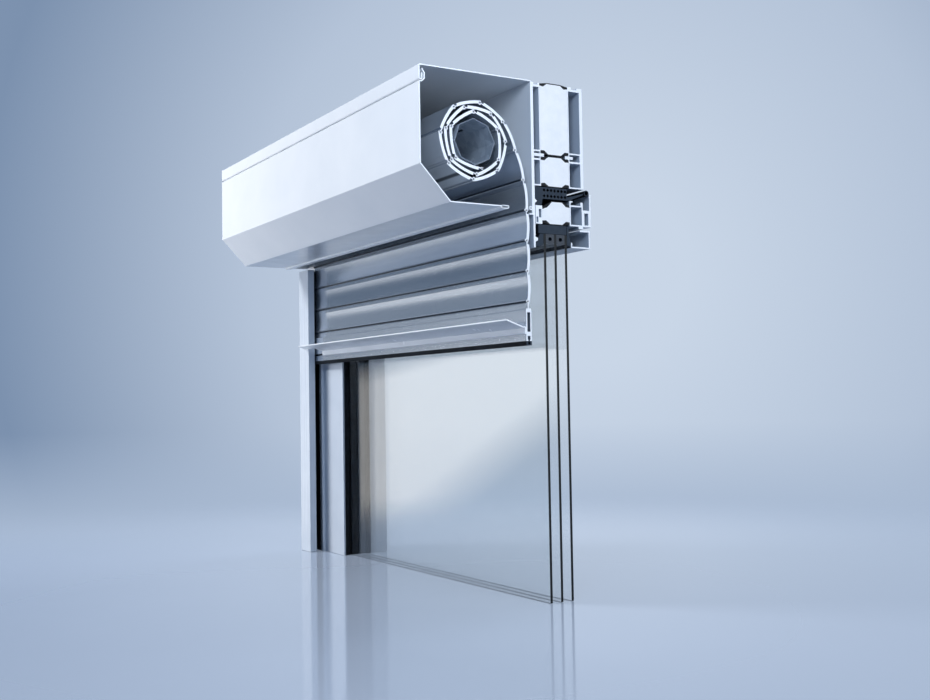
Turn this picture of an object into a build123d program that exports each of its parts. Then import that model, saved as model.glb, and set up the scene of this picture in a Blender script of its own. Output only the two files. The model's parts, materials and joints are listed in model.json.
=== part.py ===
from build123d import *
import math
import os

# Cut sample of a window with a roller shutter box on top. Sizes in mm.
# X runs along the box and the near end at +X is the sawn end. +Y is the room side, +Z is up, Z = 0 the floor.
# Section points are given as distance from the wall plane, where box and window meet, and height.

# Overall sizes
LENGTH = 800.0
HEIGHT = 734.0
BOX_DEPTH = 180.0
FRAME_DEPTH = 88.0
FLANGE_OUT = 12.0
WINDOW_DEPTH = FRAME_DEPTH + FLANGE_OUT
NEAR_X = LENGTH / 2
FAR_X = -LENGTH / 2
WALL_Y = (BOX_DEPTH - WINDOW_DEPTH) / 2
CUT_MARGIN = 5.0

# Shutter box
SHEET = 1.6
BEND_R = 2.0
BOX_HEIGHT = 183.0
BOX_BOTTOM = HEIGHT - BOX_HEIGHT
CHAMFER_RISE = 49.0
CHAMFER_TOP = BOX_BOTTOM + CHAMFER_RISE
CHAMFER_RUN = 46.0
BACK_RISE = 5.0
BACK_BOTTOM = BOX_BOTTOM + BACK_RISE
SEAM_DROP = 22.5
SEAM_Z = HEIGHT - SEAM_DROP
SEAM_GAP = 1.5
HOOK_REACH = 7.8
HOOK_RISE = 16.0
HOOK_SLOPE = 3.8
CURL_REACH = 5.5
CURL_RISE = 9.0
LIP_END = -51.5
LIP_BEAD_W = 13.0
LIP_BEAD_H = 5.0
LIP_BEAD_WALL = 1.2
LIP_BEAD_SET = 1.0
LIP_BEAD_Z = BOX_BOTTOM + SHEET / 2 - LIP_BEAD_SET
LIP_BEAD_OVERHANG = 1.5
END_PLATE = 1.5
SCREW_HEAD = 2.0
COVER_END_X = FAR_X + SCREW_HEAD + END_PLATE

# Rail under the back of the box
REAR_RAIL_HEIGHT = 13.0
REAR_RAIL_BOTTOM = BACK_BOTTOM - REAR_RAIL_HEIGHT
REAR_RAIL_FOOT = 6.6
PORT_OUT_R = 2.8
PORT_R = 1.5
PORT_DROP = 4.0
PORT_Z = BACK_BOTTOM - PORT_DROP

# Screws
SCREW_R = 2.0
SCREW_GAP = 0.1
SCREW_HEAD_R = 3.8
HEAD_SIDES = 6
PORT_SCREW_R = 1.4
PORT_SCREW_LENGTH = 18.0
PORT_SCREW_HEAD_R = 3.0
COVER_SCREW_X = (0.0, -250.0)
COVER_SCREW_DROP = 34.0
COVER_SCREW_Z = HEIGHT - COVER_SCREW_DROP
COVER_SCREW_LENGTH = 4.0
RAIL_SCREWS = 3
RAIL_SCREW_END = 60.0

# Roll: barrel, drive and spiral of slats
ROLL_OUT = 94.5
ROLL_DROP = 96.9
ROLL_Y = -ROLL_OUT
ROLL_Z = HEIGHT - ROLL_DROP
BARREL_AF = 60.0
BARREL_WALL = 1.0
BARREL_SIDES = 8
BARREL_TURN = 2.5
BARREL_FLAT = BARREL_TURN + 180.0 / BARREL_SIDES
BARREL_END_GAP = 24.0
BARREL_END_X = FAR_X + BARREL_END_GAP
BARREL_SLOT = (14.0, 4.0)
BARREL_SLOT_ANGLES = (BARREL_FLAT + 45.0, BARREL_FLAT + 90.0)
BARREL_SLOT_X = (345.0, 225.0, 105.0, -15.0, -135.0, -255.0)
MOTOR_R = 22.5
MOTOR_HEAD_R = 26.0
MOTOR_HEAD_LENGTH = 9.0
MOTOR_LENGTH = 440.0
MOTOR_SHAFT_R = 6.0
MOTOR_SHAFT_IN = 20.0
MOTOR_SHAFT_OUT = 26.0
RUNNING_GAP = 0.1
BRACKET_SIZE = 62.0
BRACKET_THICK = 4.0
BRACKET_BOLT = 24.0
CROWN_INSET = 4.0
CROWN_X = BARREL_END_X + CROWN_INSET
CROWN_LENGTH = 20.0
DRIVE_LENGTH = 18.0
INSERT_GAP = 0.2

# Slat section: U runs from a slat's own bead to the next joint, V points to its rounded side
PITCH = 42.7
SLAT_THICK = 4.2
SLAT_CROWN = 5.2
SOCKET_R = 3.1
BEAD_R = 1.95
BEAD_HOLE_R = 1.2
JOINT_GAP = 0.2
NECK_LOW = -0.3
NECK_THICK = 1.4
SHOULDER_U = 5.0
MOUTH_TURN = 71.0
MOUTH_REACH = 6.0

# Spiral and run of the curtain
WOUND_SLATS = 18
FIXED_SLATS = 14
SPIRAL_OUT_R = 56.5
SPIRAL_OUT_ANGLE = 35.3
SPIRAL_GROWTH = 7.0
LEAN_ANGLES = (26.7, 17.4, 5.9)
HANGING_SLATS = 3
HANGER_X = (330.0, 60.0, -210.0)
HANGER_WIDTH = 30.0
HANGER_FLAT = BARREL_FLAT - 90.0
HANGER_FOOT = 1.2
HANGER_FOOT_LENGTH = 12.0

# Bottom slat, measured from its bead
BOTTOM_FRONT = -3.5
BOTTOM_BACK = 5.5
BOTTOM_TOP = -9.5
BOTTOM_END = -55.0
BOTTOM_WALL = 2.0
BOTTOM_SLOT = (-42.0, -15.0)
SEAL_GROOVE_TOP = -48.0
SEAL_GROOVE_WALL = 2.2
SEAL_MOUTH = 2.6
SEAL_FLOOR = -53.2
SEAL_DROP = 6.0
ANGLE_THICK = 1.8
ANGLE_BEND = 2.2
ANGLE_TIP = (-36.0, -27.0)
ANGLE_KNEE = (-9.0, -36.5)
ANGLE_FACE = -5.3
ANGLE_HOOK_Z = -45.6
ANGLE_HOOK_IN = 2.6
ANGLE_NOTCH_GAP = 35.0
ANGLE_NOTCH_Y = -22.0

# Guide rail on the jamb
FRAME_INSET = 20.0
FRAME_X = FAR_X + FRAME_INSET
RAIL_TOP_GAP = 1.0
RAIL_TOP = REAR_RAIL_BOTTOM - RAIL_TOP_GAP
RAIL_INSET = 1.0
RAIL_OUT_X = FRAME_X + RAIL_INSET
RAIL_WIDTH = 44.0
SLAT_IN_RAIL = 10.0
SLAT_FAR_X = RAIL_OUT_X + RAIL_WIDTH - SLAT_IN_RAIL
ANGLE_NOTCH_X = RAIL_OUT_X + RAIL_WIDTH + ANGLE_NOTCH_GAP
RAIL_DEPTH = 31.0
RAIL_WALL = 1.8
RAIL_FRONT_GAP = 2.9
RAIL_BACK_GAP = 1.5
RAIL_SLOT_DEPTH = 27.0
BRUSH_X = 6.0
BRUSH_WIDTH = 4.0
BRUSH_ROOT = 1.2
BRUSH_OUT = 0.6

# Window frame section: Y from the wall plane, S inwards from the frame's outer edge
EXT_HEIGHT = 105.0
FRAME_TOP = HEIGHT - EXT_HEIGHT
MITRE_GAP = 0.1
FRONT_WALL = 3.0
OUT_SHELL = 14.0
OUT_CHAMBER = OUT_SHELL - 1.3
IN_SHELL_DEPTH = 25.5
IN_SHELL = FRAME_DEPTH - IN_SHELL_DEPTH
IN_CHAMBER = (IN_SHELL + 1.5, FRAME_DEPTH - 5.0)
FRAME_END = 44.0
CHAMBER = (7.5, FRAME_END - 2.0)
CLIP_SLOT = (2.0, 5.0)
CLIP_OPEN = (IN_SHELL + 7.5, FRAME_DEPTH - 6.0)
PRONG = 6.0
PRONG_THICK = 2.2
SEAL_HOOK = (63.0, 69.0)
HOOK_OUT = 7.0

# Extension profile on top of the frame, heights above the frame's top
EXT_TOP = EXT_HEIGHT - 2.0
EXT_GAP = 0.1
EXT_CHAMBER = (7.0, EXT_TOP - 6.0)
EXT_GROOVE = EXT_TOP - 3.0
EXT_OUT_GROOVE = (4.0, OUT_SHELL - 3.0)
EXT_IN_GROOVE = (IN_SHELL + 6.5, FRAME_DEPTH - 9.0)

# Plastic strips that tie the outer to the inner shells
STRIP_WEB = 1.2
STRIP_END = 1.5
STRIP_BUMP = 3.4
STRIP_FOOT = 13.0
FOAM_GAP = 0.2
CLIP_FOOT = 5.5
CLIP_WEB = 0.7
EXT_FOOT = EXT_TOP - 2.2
EXT_WEB = EXT_TOP + 1.4
END_FOOT = FRAME_END - 2.5
END_WEB = FRAME_END + 0.8

# Seal between frame and sash
GASKET_BODY = (OUT_SHELL + 2.0, IN_SHELL - 4.5, FRAME_END + 1.4, FRAME_END + 18.0)
GASKET_ROWS = 2
GASKET_CELLS = 7
GASKET_CELL_R = 2.6
CELL_SIDES = 4
SEAL_GAP = 0.3
SEAL_FOOT_END = 71.5
SEAL_FIN = (FRAME_DEPTH - 1.5, FRAME_END + 6.0, 2.0)

# Sash
SASH_OUT = (FRONT_WALL + 1.0, OUT_SHELL + 1.0)
SASH_TOP = 72.0
SASH_END = 98.0
SASH_SHELL = (IN_SHELL, FRAME_DEPTH - 2.0)
SASH_CHAMBER_TOP = SASH_TOP - 4.0
SASH_WALL = 2.0
SASH_SMALL_CHAMBER = (SASH_OUT[1] - 5.5, SASH_OUT[1] - 1.5, SASH_TOP + 5.0, SASH_TOP + 17.0)
SASH_CORNER_CHAMBER = (SASH_OUT[0] + 1.2, SASH_OUT[0] + 4.3, SASH_END - 10.0, SASH_END - 2.0)
SASH_STEP = (SASH_SHELL[1], WINDOW_DEPTH - 2.0, SASH_TOP + 2.0)
SASH_STEP_CHAMBER = (SASH_STEP[0] + 2.5, SASH_STEP[1] - 2.5, SASH_STEP[2] + 4.0, SASH_END - 2.5)
FLANGE_WALL = 2.5
FLANGE = (WINDOW_DEPTH - FLANGE_WALL, FRAME_END + 6.0)
SASH_HOOK_TOP = SASH_CHAMBER_TOP - 6.0
SASH_HOOK = 5.5
SASH_LIP = (SASH_SHELL[1] - 4.0, SASH_CHAMBER_TOP - 5.0)
SASH_FOOT = 17.0
SASH_FOOT_OUT = SASH_TOP + 3.5
SASH_FOOT_IN = SASH_CHAMBER_TOP + 2.5
SASH_WEB = GASKET_BODY[3] + 2.5
SASH_END_FOOT = SASH_END - 3.5
SASH_END_WEB = SASH_END + 0.5
STOP_SEAL_R = 4.4
STOP_SEAL_WALL = 1.2
STOP_SEAL_FOOT = 2.0
SMALL_SIDES = 8
ROUND_SIDES = 12

# Glazing and the frame's outer leg in front of it
FRAME_LEG_END = SASH_END + 34.0
EDGE_HOOK = (FRAME_LEG_END - 15.0, FRAME_LEG_END - 8.0)
BEAD_WALL = 2.0
BEAD_LEG = 7.5
BEAD_CLIP = (SASH_SHELL[1] - 8.0, SASH_END + 3.5)
GLAZING_BEAD = (IN_SHELL + 1.5, WINDOW_DEPTH - 2.6, SASH_END + 5.5, SASH_END + 31.5)
BEAD_TOP_Y = BEAD_CLIP[0] + 2.0
GASKET_GAP = 0.3
PANE_THICK = 4.0
OUTER_GLASS_ROOM = 11.5
INNER_GLASS_ROOM = 9.5
PANE_ENDS = (HOOK_OUT + OUTER_GLASS_ROOM, GLAZING_BEAD[0] - INNER_GLASS_ROOM)
PANE_Y = (PANE_ENDS[0], sum(PANE_ENDS) / 2, PANE_ENDS[1])
PANE_EDGE = SASH_END + 14.0
SPACER_END = PANE_EDGE + 14.0
SPACER_HOLE_R = 3.0
PACKER = (HOOK_OUT + 1.0, PANE_Y[2] + 1.5, SASH_END + 1.0, PANE_EDGE - 0.5)


def rect(y_low, y_high, z_low, z_high):
    """Rectangle between two levels in each direction."""
    middle = Pos((y_low + y_high) / 2, (z_low + z_high) / 2)
    return middle * Rectangle(y_high - y_low, z_high - z_low)


def outline(*points):
    """Filled outline through the points, left where they are."""
    return Polygon(*points, align=None)


def left_offset(path, distance):
    """Path moved to its left by a distance, its corners kept sharp."""
    headings = [math.atan2(b[1] - a[1], b[0] - a[0]) for a, b in zip(path, path[1:])]
    moved = []
    for k, (y, z) in enumerate(path):
        before = headings[max(k - 1, 0)]
        after = headings[min(k, len(headings) - 1)]
        half = math.remainder(after - before, math.tau) / 2
        reach = distance / math.cos(half)
        side = before + half + math.pi / 2
        moved.append((y + reach * math.cos(side), z + reach * math.sin(side)))
    return moved


def small_round(radius):
    """Small hole or tube outline, drawn with few flats of about the round's size."""
    return RegularPolygon(radius, SMALL_SIDES)


def bead_round(radius):
    """Bead, pin or screw outline whose corners lie on this radius."""
    return RegularPolygon(radius, ROUND_SIDES)


def bore_round(radius):
    """Bore outline whose flats lie on this radius, so that a round of the same number of sides turns in it."""
    return RegularPolygon(radius, ROUND_SIDES, major_radius=False)


def bent(path, thickness, radius=BEND_R):
    """Sheet whose thickness lies on the left of the path, with bends of this outer radius."""
    inner = left_offset(path, thickness)
    sheet = outline(*path, *inner[::-1])
    for k in range(1, len(path) - 1):
        turn = (path[k][0] - path[k - 1][0]) * (path[k + 1][1] - path[k][1])
        turn -= (path[k][1] - path[k - 1][1]) * (path[k + 1][0] - path[k][0])
        outer_point, inner_point = (path[k], inner[k]) if turn > 0 else (inner[k], path[k])
        for point, bend in ((outer_point, radius), (inner_point, radius - thickness)):
            corner = sheet.vertices().sort_by_distance(Vector(*point))[0]
            sheet = fillet(corner, bend)
    return sheet


def section_plane(x):
    """Plane across the box at x: first axis towards the room, second up."""
    return Plane(origin=(x, WALL_Y, 0), x_dir=(0, 1, 0), z_dir=(1, 0, 0))


def bar(sketch, near=NEAR_X, far=COVER_END_X):
    """Straight length of a section along X."""
    return extrude(section_plane(far) * sketch, amount=near - far, dir=(1, 0, 0))


def round_bar(y, z, radius, near, far):
    """Cylinder along X."""
    return bar(Pos(y, z) * Circle(radius), near, far)


def mitred(sketch):
    """Head and jamb lengths of a frame section, mitred at the top corner."""
    head_plane = Plane(origin=(NEAR_X, WALL_Y, FRAME_TOP), x_dir=(0, 1, 0), z_dir=(-1, 0, 0))
    jamb_plane = Plane(origin=(FRAME_X, WALL_Y, FRAME_TOP), x_dir=(0, 1, 0), z_dir=(0, 0, -1))
    head = extrude(head_plane * sketch, amount=NEAR_X - FRAME_X, dir=(-1, 0, 0))
    jamb = extrude(jamb_plane * sketch, amount=FRAME_TOP, dir=(0, 0, -1))
    half = MITRE_GAP / 2
    above = Plane(origin=(FRAME_X + half, 0, FRAME_TOP + half), z_dir=(1, 0, 1))
    below = Plane(origin=(FRAME_X - half, 0, FRAME_TOP - half), z_dir=(1, 0, 1))
    return [split(head, bisect_by=above, keep=Keep.TOP), split(jamb, bisect_by=below, keep=Keep.BOTTOM)]


def strip_sides(y0, foot0, y1, foot1, web, way, reach=STRIP_FOOT):
    """Outer and inner side of a tie strip with a raised web; way is +1 or -1."""
    low = web - way * STRIP_WEB
    outer = [(y0, foot0 + way * STRIP_END), (y0 + reach, web),
             (y1 - STRIP_FOOT, web), (y1, foot1 + way * STRIP_END)]
    inner = [(y1, foot1 - way * STRIP_END),
             (y1 - STRIP_FOOT / 2, (foot1 + low) / 2 - way * STRIP_BUMP),
             (y1 - STRIP_FOOT, low), (y0 + reach, low),
             (y0 + reach / 2, (foot0 + low) / 2 - way * STRIP_BUMP),
             (y0, foot0 - way * STRIP_END)]
    return outer, inner


def strip(*sizes):
    """Tie strip section."""
    outer, inner = strip_sides(*sizes)
    return outline(*outer, *inner)


def strip_notch(*sizes):
    """What a tie strip and the space behind it take away from the foam."""
    outer, inner = strip_sides(*sizes)
    web, way = sizes[4], sizes[5]
    beyond = web + way * CUT_MARGIN
    return outline((inner[-1][0] - 1, beyond), (inner[0][0] + 1, beyond),
                   (inner[0][0] + 1, inner[0][1]), *inner, (inner[-1][0] - 1, inner[-1][1]))


def spiral_joints():
    """Joint points of the wound slats from the innermost out, about the roll centre."""
    angle = math.radians(SPIRAL_OUT_ANGLE)
    turned = 0.0
    points = [(SPIRAL_OUT_R * math.cos(angle), SPIRAL_OUT_R * math.sin(angle))]
    for _ in range(WOUND_SLATS):
        low, high = math.radians(20), math.radians(100)
        for _ in range(60):
            step = (low + high) / 2
            radius = SPIRAL_OUT_R - SPIRAL_GROWTH * (turned + step) / (2 * math.pi)
            point = (radius * math.cos(angle + step), radius * math.sin(angle + step))
            if math.dist(point, points[-1]) > PITCH:
                high = step
            else:
                low = step
        angle += step
        turned += step
        points.append(point)
    return points[::-1]


def chain_joints():
    """All joint points from the innermost bead to the bottom slat's bead."""
    points = [(ROLL_Y + y, ROLL_Z + z) for y, z in spiral_joints()]
    for lean in LEAN_ANGLES + (0.0,) * HANGING_SLATS:
        y, z = points[-1]
        tilt = math.radians(lean)
        points.append((y + PITCH * math.sin(tilt), z - PITCH * math.cos(tilt)))
    return points


def socket(center_u=0.0):
    """Open ring that grips a bead; its mouth lets the next slat swing inwards."""
    upper = NECK_LOW + NECK_THICK + JOINT_GAP
    turn = math.radians(-MOUTH_TURN)
    along = (math.cos(turn), math.sin(turn))
    left = (-math.sin(turn), math.cos(turn))
    lower = NECK_LOW - JOINT_GAP
    root = (left[0] * lower, left[1] * lower)
    reach = (root[0] + along[0] * MOUTH_REACH, root[1] + along[1] * MOUTH_REACH)
    mouth = outline((0, upper), (MOUTH_REACH, upper), (MOUTH_REACH, -MOUTH_REACH), reach, root)
    return Pos(center_u, 0) * mouth, Pos(center_u, 0) * bore_round(BEAD_R + JOINT_GAP)


def bead_and_neck():
    """Hollow bead at the origin and the neck that leads to the slat."""
    neck = rect(0, SHOULDER_U + SLAT_THICK / 2, NECK_LOW, NECK_LOW + NECK_THICK)
    return bead_round(BEAD_R) + neck - small_round(BEAD_HOLE_R)


def slat_section():
    """Curved slat with its bead at the origin and its socket one pitch along U."""
    rise = SLAT_CROWN - SOCKET_R
    arc_r = ((PITCH / 2) ** 2 + rise ** 2) / (2 * rise)
    center = Pos(PITCH / 2, SLAT_CROWN - arc_r)
    band = center * (Circle(arc_r) - Circle(arc_r - SLAT_THICK))
    body = band & rect(SHOULDER_U, PITCH, -SLAT_CROWN, 2 * SLAT_CROWN)
    mouth, bore = socket(PITCH)
    body = body + Pos(PITCH, 0) * bead_round(SOCKET_R) - bore - mouth
    return body + bead_and_neck()


def slat_at(start, end, sketch):
    """Slat from one joint point to the next."""
    angle = math.degrees(math.atan2(end[1] - start[1], end[0] - start[0]))
    return bar(Pos(*start) * Rot(0, 0, angle) * sketch, far=SLAT_FAR_X)


def octagon(across):
    """Octagon section of the barrel, about the roll centre."""
    shape = RegularPolygon(across / 2, BARREL_SIDES, major_radius=False, rotation=BARREL_TURN)
    return Pos(ROLL_Y, ROLL_Z) * shape


def x_screw(y, z, radius, head_r, length):
    """Screw driven along +X through the far end plate."""
    plate_x = FAR_X + SCREW_HEAD
    head = bar(Pos(y, z) * RegularPolygon(head_r, HEAD_SIDES), plate_x, FAR_X)
    return head + bar(Pos(y, z) * bead_round(radius), plate_x + length, plate_x)


def y_screw(x, y, z, length):
    """Screw driven towards the room, its head's underside at y."""
    plane = Plane(origin=(x, WALL_Y + y, z), x_dir=(1, 0, 0), z_dir=(0, 1, 0))
    head = extrude(plane * RegularPolygon(SCREW_HEAD_R, HEAD_SIDES), amount=SCREW_HEAD, dir=(0, -1, 0))
    return extrude(plane * bead_round(SCREW_R), amount=length) + head


def y_hole(x, y, z, length, radius=SCREW_R + SCREW_GAP):
    """Hole for such a screw, as a solid to cut away."""
    plane = Plane(origin=(x, WALL_Y + y, z), x_dir=(1, 0, 0), z_dir=(0, 1, 0))
    return extrude(plane * bore_round(radius), amount=length)


nodes = {}

# Covers of the box, open at the sawn end
BACK = -BOX_DEPTH
rear_path = [(0, BACK_BOTTOM), (0, HEIGHT), (BACK, HEIGHT), (BACK, SEAM_Z + SEAM_GAP),
             (BACK + CURL_REACH, SEAM_Z + SEAM_GAP), (BACK + CURL_REACH, SEAM_Z + SEAM_GAP + CURL_RISE)]
rear_cover = bar(bent(rear_path, SHEET))
for x in COVER_SCREW_X:
    rear_cover -= y_hole(x, -SHEET - CUT_MARGIN, COVER_SCREW_Z, SHEET + 2 * CUT_MARGIN)
nodes["rear_cover"] = [rear_cover]

hook_y = BACK + HOOK_REACH
front_path = [(hook_y - HOOK_SLOPE, SEAM_Z + HOOK_RISE), (hook_y, SEAM_Z + HOOK_RISE - HOOK_SLOPE - SHEET),
              (hook_y, SEAM_Z + HOOK_SLOPE), (hook_y - HOOK_SLOPE, SEAM_Z), (BACK, SEAM_Z),
              (BACK, CHAMFER_TOP), (BACK + CHAMFER_RUN, BOX_BOTTOM), (LIP_END, BOX_BOTTOM)]
nodes["front_cover"] = [bar(bent(front_path, SHEET))]

bead_y = LIP_END - LIP_BEAD_OVERHANG + LIP_BEAD_W / 2
oval = SlotOverall(LIP_BEAD_W, LIP_BEAD_H) - SlotOverall(LIP_BEAD_W - 2 * LIP_BEAD_WALL, LIP_BEAD_H - 2 * LIP_BEAD_WALL)
bead_slot = rect(bead_y - LIP_BEAD_W, LIP_END + SHEET, BOX_BOTTOM, BOX_BOTTOM + SHEET)
nodes["lip_bead"] = [bar(Pos(bead_y, LIP_BEAD_Z) * oval - bead_slot)]

port_y = PORT_OUT_R - REAR_RAIL_FOOT
rail = rect(-SHEET, 0, REAR_RAIL_BOTTOM, BACK_BOTTOM)
rail += rect(-REAR_RAIL_FOOT, 0, REAR_RAIL_BOTTOM, REAR_RAIL_BOTTOM + SHEET)
rail += Pos(port_y, PORT_Z) * Circle(PORT_OUT_R)
rail -= Pos(port_y, PORT_Z) * Circle(PORT_R)
nodes["rear_bottom_rail"] = [bar(rail)]

# End plate of the box with its screws
bracket_bolts = [(ROLL_Y + i * BRACKET_BOLT, ROLL_Z + k * BRACKET_BOLT) for i in (-1, 1) for k in (-1, 1)]
plate = outline((0, HEIGHT), (BACK, HEIGHT), (BACK, CHAMFER_TOP), (BACK + CHAMFER_RUN, BOX_BOTTOM), (0, BOX_BOTTOM))
for y, z in bracket_bolts:
    plate -= Pos(y, z) * bore_round(SCREW_R + SCREW_GAP)
plate -= Pos(port_y, PORT_Z) * bore_round(PORT_SCREW_R + SCREW_GAP)
nodes["end_plate"] = [bar(plate, COVER_END_X, COVER_END_X - END_PLATE)]
nodes["screws"] = [x_screw(y, z, SCREW_R, SCREW_HEAD_R, END_PLATE + BRACKET_THICK) for y, z in bracket_bolts]
nodes["screws"].append(x_screw(port_y, PORT_Z, PORT_SCREW_R, PORT_SCREW_HEAD_R, PORT_SCREW_LENGTH))
nodes["screws"] += [y_screw(x, -SHEET, COVER_SCREW_Z, COVER_SCREW_LENGTH) for x in COVER_SCREW_X]

# Drive in the barrel
bracket = Pos(ROLL_Y, ROLL_Z) * Rectangle(BRACKET_SIZE, BRACKET_SIZE)
for y, z in bracket_bolts:
    bracket -= Pos(y, z) * bore_round(SCREW_R + SCREW_GAP)
bracket_x = COVER_END_X + BRACKET_THICK
nodes["motor_bracket"] = [bar(bracket, bracket_x, COVER_END_X)]

head_x = bracket_x + MOTOR_HEAD_LENGTH
motor_x = head_x + MOTOR_LENGTH
motor = round_bar(ROLL_Y, ROLL_Z, MOTOR_HEAD_R, head_x, bracket_x)
motor += round_bar(ROLL_Y, ROLL_Z, MOTOR_R, motor_x, head_x)
motor -= round_bar(ROLL_Y, ROLL_Z, MOTOR_SHAFT_R + RUNNING_GAP, motor_x + 1, motor_x - MOTOR_SHAFT_IN - INSERT_GAP)
nodes["tubular_motor"] = [motor]
shaft_end = motor_x + MOTOR_SHAFT_OUT
nodes["motor_shaft"] = [round_bar(ROLL_Y, ROLL_Z, MOTOR_SHAFT_R, shaft_end, motor_x - MOTOR_SHAFT_IN)]

inside = BARREL_AF - 2 * BARREL_WALL - 2 * INSERT_GAP
crown = octagon(inside) - Pos(ROLL_Y, ROLL_Z) * Circle(MOTOR_R + RUNNING_GAP)
nodes["motor_crown"] = [bar(crown, CROWN_X + CROWN_LENGTH, CROWN_X)]
wheel = octagon(inside) - Pos(ROLL_Y, ROLL_Z) * Circle(MOTOR_SHAFT_R + SCREW_GAP)
nodes["drive_wheel"] = [bar(wheel, shaft_end, shaft_end - DRIVE_LENGTH)]

barrel = bar(octagon(BARREL_AF) - octagon(BARREL_AF - 2 * BARREL_WALL), far=BARREL_END_X)
for angle in BARREL_SLOT_ANGLES:
    for x in BARREL_SLOT_X:
        cutter = Box(BARREL_SLOT[0], BARREL_SLOT[1], CUT_MARGIN * 2)
        place = Pos(x, WALL_Y + ROLL_Y, ROLL_Z) * Rot(angle - 90, 0, 0) * Pos(0, 0, BARREL_AF / 2)
        barrel -= place * cutter
nodes["barrel_tube"] = [barrel]

# Slats from the innermost to the lowest
joints = chain_joints()
section = slat_section()
for number in range(WOUND_SLATS + len(LEAN_ANGLES) + HANGING_SLATS):
    nodes[f"slat_{number + 1:02d}"] = [slat_at(joints[number], joints[number + 1], section)]

# Hangers that tie the innermost bead to the barrel
first_y, first_z = joints[0]
mouth, bore = socket()
first_angle = math.degrees(math.atan2(joints[1][1] - first_z, joints[1][0] - first_y)) + MOUTH_TURN / 2
ring = Pos(first_y, first_z) * Rot(0, 0, first_angle) * (bead_round(SOCKET_R) - bore - mouth)
flat = math.radians(HANGER_FLAT)
outward = (first_y - ROLL_Y) * math.cos(flat) + (first_z - ROLL_Z) * math.sin(flat)
across = (first_y - ROLL_Y) * math.sin(flat) - (first_z - ROLL_Z) * math.cos(flat)
wall_low = across - SOCKET_R
wall_high = across - BEAD_R - JOINT_GAP
post = rect(wall_low, wall_high, BARREL_AF / 2, outward)
foot = rect(wall_high - HANGER_FOOT_LENGTH, wall_high, BARREL_AF / 2, BARREL_AF / 2 + HANGER_FOOT)
hanger = ring + Pos(ROLL_Y, ROLL_Z) * Rot(0, 0, HANGER_FLAT - 90) * (post + foot)
nodes["hangers"] = [bar(hanger, x + HANGER_WIDTH / 2, x - HANGER_WIDTH / 2) for x in HANGER_X]

# Bottom slat, its stop angle and its seal
last_y, last_z = joints[-1]
bottom = rect(BOTTOM_FRONT, BOTTOM_BACK, BOTTOM_END, BOTTOM_TOP)
bottom = fillet(bottom.vertices().group_by(Axis.Y)[-1], BOTTOM_WALL)
bottom -= rect(BOTTOM_FRONT + BOTTOM_WALL, BOTTOM_BACK - BOTTOM_WALL, *BOTTOM_SLOT)
groove = rect(BOTTOM_FRONT + SEAL_GROOVE_WALL, BOTTOM_BACK - SEAL_GROOVE_WALL, SEAL_FLOOR, SEAL_GROOVE_TOP)
seal_middle = (BOTTOM_FRONT + BOTTOM_BACK) / 2
seal_neck = rect(seal_middle - SEAL_MOUTH / 2, seal_middle + SEAL_MOUTH / 2, BOTTOM_END - 1, SEAL_FLOOR)
bottom -= groove + seal_neck
hook_room = rect(BOTTOM_FRONT - 1, BOTTOM_FRONT + ANGLE_HOOK_IN, ANGLE_HOOK_Z, ANGLE_HOOK_Z + ANGLE_THICK)
relief = 2 * (ANGLE_BEND - ANGLE_THICK)
hook_top = ANGLE_HOOK_Z + ANGLE_THICK
bottom -= hook_room + outline((BOTTOM_FRONT, hook_top + relief), (BOTTOM_FRONT, hook_top),
                              (BOTTOM_FRONT + relief, hook_top))
neck = rect(NECK_LOW, NECK_LOW + NECK_THICK, BOTTOM_TOP - BOTTOM_WALL, 0)
bottom += neck + bead_round(BEAD_R) - small_round(BEAD_HOLE_R)
nodes["bottom_slat"] = [bar(Pos(last_y, last_z) * bottom, far=SLAT_FAR_X)]

angle_path = [(BOTTOM_FRONT + ANGLE_HOOK_IN, ANGLE_HOOK_Z), (ANGLE_FACE, ANGLE_HOOK_Z),
              (ANGLE_FACE, ANGLE_KNEE[1]), ANGLE_KNEE, ANGLE_TIP]
stop = bent(angle_path[::-1], ANGLE_THICK, ANGLE_BEND)
stop = bar(Pos(last_y, last_z) * stop, far=SLAT_FAR_X)
notch_x = (ANGLE_NOTCH_X + SLAT_FAR_X) / 2 - CUT_MARGIN
notch = Box(ANGLE_NOTCH_X - SLAT_FAR_X + 2 * CUT_MARGIN, 2 * PITCH, 2 * PITCH)
stop -= Pos(notch_x, WALL_Y + last_y + ANGLE_NOTCH_Y + PITCH, last_z - PITCH) * notch
nodes["stop_angle"] = [stop]

seal_gap = JOINT_GAP
seal = rect(BOTTOM_FRONT + SEAL_GROOVE_WALL + seal_gap, BOTTOM_BACK - SEAL_GROOVE_WALL - seal_gap,
            SEAL_FLOOR, SEAL_GROOVE_TOP - seal_gap)
seal += rect(seal_middle - SEAL_MOUTH / 2 + seal_gap, seal_middle + SEAL_MOUTH / 2 - seal_gap,
             BOTTOM_END - seal_gap, SEAL_FLOOR)
seal += rect(BOTTOM_FRONT, BOTTOM_BACK, BOTTOM_END - SEAL_DROP, BOTTOM_END - seal_gap)
seal -= Pos(seal_middle, BOTTOM_END - SEAL_DROP / 2) * small_round(SEAL_DROP / 3)
nodes["bottom_seal"] = [bar(Pos(last_y, last_z) * seal, far=SLAT_FAR_X)]

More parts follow.
